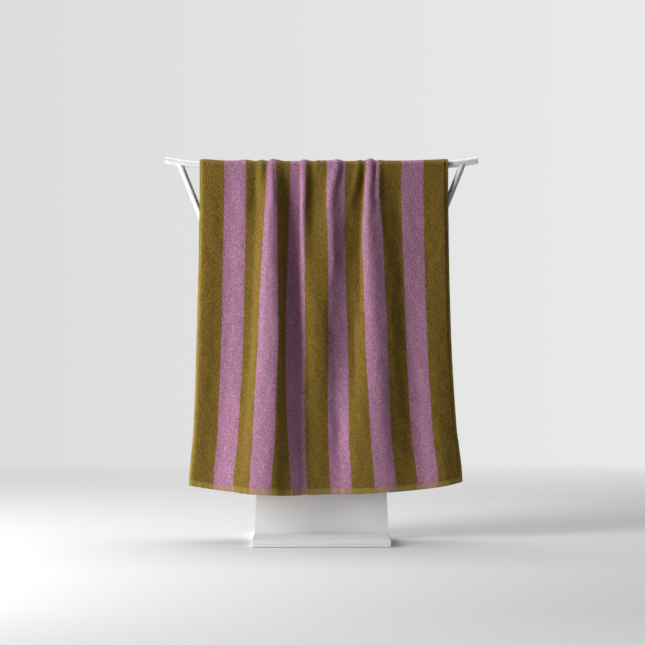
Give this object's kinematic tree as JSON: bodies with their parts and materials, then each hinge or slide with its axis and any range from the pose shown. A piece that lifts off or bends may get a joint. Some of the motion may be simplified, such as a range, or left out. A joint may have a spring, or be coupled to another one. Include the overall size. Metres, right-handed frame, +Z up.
{
  "type": "bath towel on a display stand",
  "caption": "Vertically striped terry bath towel draped in soft folds over the rail of a plain free-standing stand.",
  "frame": {"origin": "middle of the base plate's underside, where the stand rests on the floor", "axes": "+Z up, +X along the rail to the right of someone facing the front, +Y away from them, so the longer drop of the towel hangs on the -Y side"},
  "size_m": [0.7086, 0.24, 0.8643],
  "materials": {
    "terry": "cotton terry pile in olive and orchid lengthwise stripes, with flat-woven hems and selvages",
    "stand_paint": "satin white powder coat"
  },
  "bodies": {
    "root": {"towel": "terry", "rail": "stand_paint", "strut_left": "stand_paint", "strut_right": "stand_paint", "upright_panel": "stand_paint", "base_plate": "stand_paint"}
  },
  "joints": []
}
